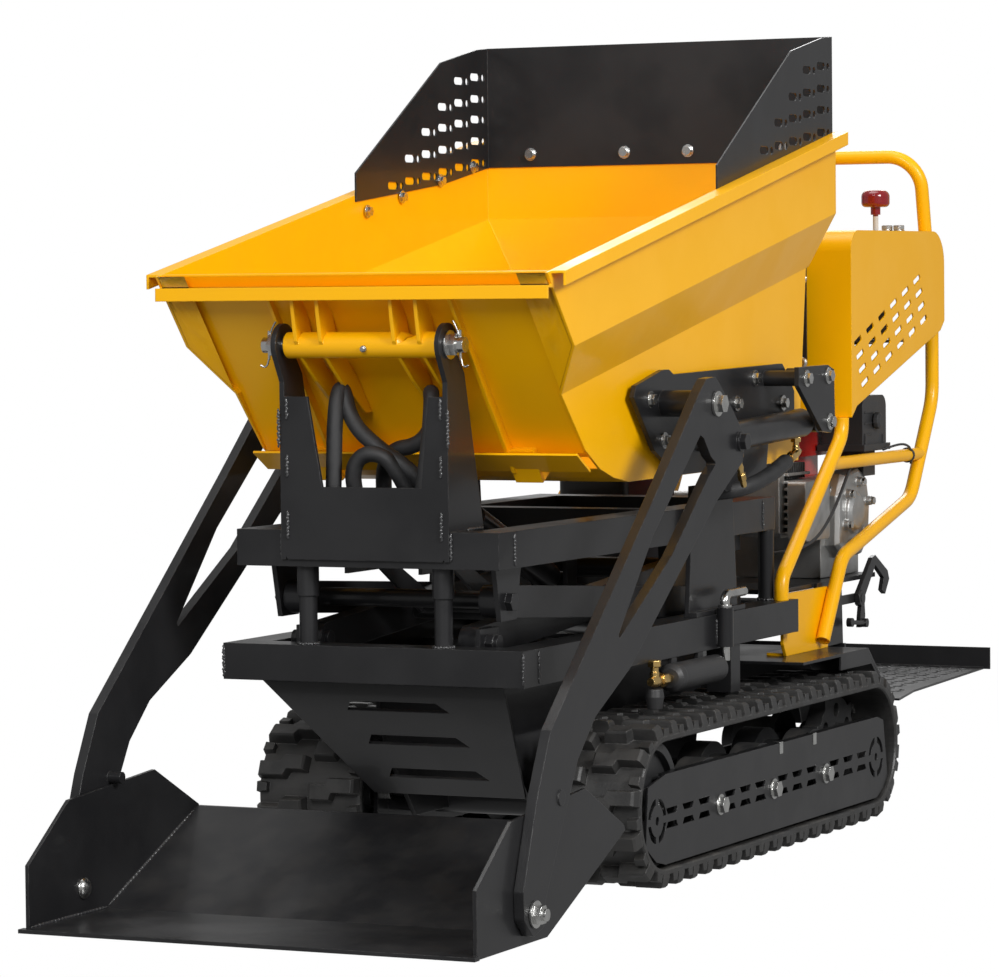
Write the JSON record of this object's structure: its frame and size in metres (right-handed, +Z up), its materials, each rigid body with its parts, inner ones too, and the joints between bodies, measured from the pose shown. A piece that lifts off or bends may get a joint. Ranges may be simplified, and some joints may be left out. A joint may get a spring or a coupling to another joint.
{
  "type": "power wheelbarrow",
  "caption": "Tracked mini dumper with self-loading scoop, scissor-lift tipping bin, slotted hopper extension, walk-behind console and folding platform.",
  "frame": {"origin": "on the ground, at the middle of the overall length and width", "axes": "+Y from the scoop to the operator, +X towards the machine's left side, +Z up"},
  "size_m": [0.812, 2.58, 1.36],
  "materials": {
    "yellow_paint": "gloss signal yellow powder coat",
    "black_paint": "semi-gloss black powder coat",
    "zinc": "zinc plated",
    "bright_steel": "hard chrome",
    "rubber": "moulded black rubber",
    "hose_rubber": "black sleeved hose",
    "cast_iron": "dark painted casting",
    "red_plastic": "gloss red",
    "black_plastic": "matt black",
    "engine_aluminium": "cast, bead blasted",
    "tank_paint": "gloss red enamel",
    "brass": "machined hose fittings"
  },
  "bodies": {
    "chassis": {"undercarriage": "black_paint", "drive_motors": "cast_iron", "axle_bolts": "zinc", "track_cover_left": "black_paint", "track_cover_right": "black_paint", "rubber_track_left": "rubber", "rubber_track_right": "rubber", "front_guard": "black_paint", "lower_frame": "black_paint", "loader_stand_left": "black_paint", "loader_stand_right": "black_paint", "loader_pins": "zinc", "rear_deck": "black_paint", "rear_brackets": "yellow_paint", "handle_frame": "yellow_paint", "console_cover": "yellow_paint", "console_panel": "black_paint", "control_valve": "cast_iron", "engine_block": "engine_aluminium", "air_cleaner": "black_plastic", "fuel_tank": "tank_paint", "recoil_housing": "tank_paint", "hydraulic_tank": "black_paint", "hydraulic_pump": "engine_aluminium"},
    "left_drive": {"drive_sprocket_left": "cast_iron"},
    "right_drive": {"drive_sprocket_right": "cast_iron"},
    "left_idler": {"idler_wheel_left": "cast_iron"},
    "right_idler": {"idler_wheel_right": "cast_iron"},
    "scissor_inner": {"scissor_inner_arms": "black_paint"},
    "scissor_outer": {"scissor_outer_arms": "black_paint"},
    "upper_carriage": {"upper_frame": "black_paint", "tower_pin": "zinc", "tip_hoses": "hose_rubber"},
    "lift_barrel": {"lift_cylinder_barrel": "black_paint"},
    "lift_rod": {"lift_cylinder_rod": "bright_steel"},
    "tip_barrel": {"tip_cylinder_barrel": "black_paint"},
    "tip_rod": {"tip_cylinder_rod": "bright_steel"},
    "bin": {"bin_shell": "yellow_paint", "hopper_extension": "black_paint", "extension_bolts": "zinc"},
    "loader_arms": {"loader_arm_left": "black_paint", "loader_arm_right": "black_paint"},
    "loader_barrels": {"loader_cylinder_barrels": "black_paint"},
    "loader_rods": {"loader_cylinder_rods": "bright_steel"},
    "scoop_body": {"scoop": "black_paint", "scoop_bolts": "zinc"},
    "standing_platform": {"platform": "black_paint"},
    "hook": {"platform_hook": "black_paint"},
    "left_lock": {"lock_pin_left": "zinc"},
    "right_lock": {"lock_pin_right": "zinc"},
    "knob_lever": {"red_knob_lever": "red_plastic"},
    "lift_control": {"lift_lever": "black_plastic"},
    "left_control": {"left_drive_lever": "black_plastic"},
    "right_control": {"right_drive_lever": "black_plastic"},
    "left_front_roller": {"road_roller_front_left": "cast_iron"},
    "left_middle_roller": {"road_roller_middle_left": "cast_iron"},
    "left_rear_roller": {"road_roller_rear_left": "cast_iron"},
    "right_front_roller": {"road_roller_front_right": "cast_iron"},
    "right_middle_roller": {"road_roller_middle_right": "cast_iron"},
    "right_rear_roller": {"road_roller_rear_right": "cast_iron"}
  },
  "joints": [
    {"name": "left_track_drive", "type": "hinge", "parent": "chassis", "child": "left_drive", "pos_m": [0.242, 0.429, 0.13], "axis": [1, 0, 0], "continuous": true},
    {"name": "left_idler_spin", "type": "hinge", "parent": "chassis", "child": "left_idler", "pos_m": [0.242, -0.505, 0.13], "axis": [1, 0, 0], "continuous": true},
    {"name": "left_front_roller_spin", "type": "hinge", "parent": "chassis", "child": "left_front_roller", "pos_m": [0.242, -0.278, 0.1055], "axis": [1, 0, 0], "continuous": true},
    {"name": "left_middle_roller_spin", "type": "hinge", "parent": "chassis", "child": "left_middle_roller", "pos_m": [0.242, -0.045, 0.1055], "axis": [1, 0, 0], "continuous": true},
    {"name": "left_rear_roller_spin", "type": "hinge", "parent": "chassis", "child": "left_rear_roller", "pos_m": [0.242, 0.194, 0.1055], "axis": [1, 0, 0], "continuous": true},
    {"name": "right_track_drive", "type": "hinge", "parent": "chassis", "child": "right_drive", "pos_m": [-0.242, 0.429, 0.13], "axis": [1, 0, 0], "continuous": true},
    {"name": "right_idler_spin", "type": "hinge", "parent": "chassis", "child": "right_idler", "pos_m": [-0.242, -0.505, 0.13], "axis": [1, 0, 0], "continuous": true},
    {"name": "right_front_roller_spin", "type": "hinge", "parent": "chassis", "child": "right_front_roller", "pos_m": [-0.242, -0.278, 0.1055], "axis": [1, 0, 0], "continuous": true},
    {"name": "right_middle_roller_spin", "type": "hinge", "parent": "chassis", "child": "right_middle_roller", "pos_m": [-0.242, -0.045, 0.1055], "axis": [1, 0, 0], "continuous": true},
    {"name": "right_rear_roller_spin", "type": "hinge", "parent": "chassis", "child": "right_rear_roller", "pos_m": [-0.242, 0.194, 0.1055], "axis": [1, 0, 0], "continuous": true},
    {"name": "lift_joint", "type": "hinge", "parent": "chassis", "child": "scissor_inner", "pos_m": [0, -0.782, 0.402], "axis": [1, 0, 0], "range_deg": [0, 33]},
    {"name": "scissor_cross", "type": "hinge", "parent": "scissor_inner", "child": "scissor_outer", "pos_m": [0, -0.3331, 0.4335], "axis": [1, 0, 0], "range_deg": [-66, 0]},
    {"name": "upper_carriage_pivot", "type": "hinge", "parent": "scissor_outer", "child": "upper_carriage", "pos_m": [0, -0.782, 0.465], "axis": [1, 0, 0], "range_deg": [0, 33]},
    {"name": "lift_barrel_pivot", "type": "hinge", "parent": "chassis", "child": "lift_barrel", "pos_m": [0, 0.022, 0.37], "axis": [1, 0, 0], "range_deg": [-22.1, 0]},
    {"name": "bin_tip", "type": "hinge", "parent": "upper_carriage", "child": "bin", "pos_m": [0, -0.88, 0.856], "axis": [1, 0, 0], "range_deg": [0, 70]},
    {"name": "tip_barrel_pivot", "type": "hinge", "parent": "upper_carriage", "child": "tip_barrel", "pos_m": [0, -0.198, 0.452], "axis": [1, 0, 0], "range_deg": [-35.1, 0]},
    {"name": "loader_lift", "type": "hinge", "parent": "chassis", "child": "loader_arms", "pos_m": [0, -0.424, 0.755], "axis": [1, 0, 0], "range_deg": [-120, 0]},
    {"name": "loader_barrel_pivot", "type": "hinge", "parent": "chassis", "child": "loader_barrels", "pos_m": [0, 0.114, 0.709], "axis": [1, 0, 0], "range_deg": [-1.6, 0]},
    {"name": "scoop_pivot", "type": "hinge", "parent": "loader_arms", "child": "scoop_body", "pos_m": [0, -1.118, 0.045], "axis": [1, 0, 0], "range_deg": [-45, 0]},
    {"name": "platform_fold", "type": "hinge", "parent": "chassis", "child": "standing_platform", "pos_m": [0, 0.612, 0.182], "axis": [1, 0, 0], "range_deg": [0, 50]},
    {"name": "hook_swing", "type": "hinge", "parent": "chassis", "child": "hook", "pos_m": [0, 0.631, 0.373], "axis": [1, 0, 0], "range_deg": [0, 30]},
    {"name": "lift_rod_slide", "type": "slide", "parent": "lift_barrel", "child": "lift_rod", "axis": [0, -0.9943, 0.1067], "range_m": [0, 0.1325]},
    {"name": "tip_rod_slide", "type": "slide", "parent": "tip_barrel", "child": "tip_rod", "axis": [0, -0.9315, 0.3638], "range_m": [0, 0.1834]},
    {"name": "loader_rod_slide", "type": "slide", "parent": "loader_barrels", "child": "loader_rods", "axis": [0, -0.9993, -0.0387], "range_m": [0, 0.2032]},
    {"name": "left_lock_slide", "type": "slide", "parent": "chassis", "child": "left_lock", "axis": [0, 0, 1], "range_m": [0, 0.045]},
    {"name": "right_lock_slide", "type": "slide", "parent": "chassis", "child": "right_lock", "axis": [0, 0, 1], "range_m": [0, 0.045]},
    {"name": "knob_lever_swing", "type": "hinge", "parent": "chassis", "child": "knob_lever", "pos_m": [0.183, 0.842, 0.9], "axis": [1, 0, 0], "range_deg": [-15, 15], "stiffness_Nm_per_rad": 4},
    {"name": "lift_lever_swing", "type": "hinge", "parent": "chassis", "child": "lift_control", "pos_m": [0.06, 0.842, 0.9], "axis": [1, 0, 0], "range_deg": [-15, 15], "stiffness_Nm_per_rad": 4},
    {"name": "left_lever_swing", "type": "hinge", "parent": "chassis", "child": "left_control", "pos_m": [0, 0.842, 0.9], "axis": [1, 0, 0], "range_deg": [-15, 15], "stiffness_Nm_per_rad": 4},
    {"name": "right_lever_swing", "type": "hinge", "parent": "chassis", "child": "right_control", "pos_m": [-0.06, 0.842, 0.9], "axis": [1, 0, 0], "range_deg": [-15, 15], "stiffness_Nm_per_rad": 4}
  ],
  "couplings": [
    {"joint": "left_idler_spin", "follows": "left_track_drive", "ratio": 1},
    {"joint": "left_front_roller_spin", "follows": "left_track_drive", "ratio": 1.3333},
    {"joint": "left_middle_roller_spin", "follows": "left_track_drive", "ratio": 1.3333},
    {"joint": "left_rear_roller_spin", "follows": "left_track_drive", "ratio": 1.3333},
    {"joint": "right_idler_spin", "follows": "right_track_drive", "ratio": 1},
    {"joint": "right_front_roller_spin", "follows": "right_track_drive", "ratio": 1.3333},
    {"joint": "right_middle_roller_spin", "follows": "right_track_drive", "ratio": 1.3333},
    {"joint": "right_rear_roller_spin", "follows": "right_track_drive", "ratio": 1.3333},
    {"joint": "scissor_cross", "follows": "lift_joint", "ratio": -2},
    {"joint": "upper_carriage_pivot", "follows": "lift_joint", "ratio": 1},
    {"joint": "lift_barrel_pivot", "follows": "lift_joint", "ratio": -0.6667},
    {"joint": "lift_rod_slide", "follows": "lift_joint", "m_per_rad": 0.2293},
    {"joint": "tip_barrel_pivot", "follows": "bin_tip", "ratio": -0.5},
    {"joint": "tip_rod_slide", "follows": "bin_tip", "m_per_rad": 0.15},
    {"joint": "loader_barrel_pivot", "follows": "loader_lift", "ratio": 0.0124},
    {"joint": "loader_rod_slide", "follows": "loader_lift", "m_per_rad": -0.0968}
  ]
}
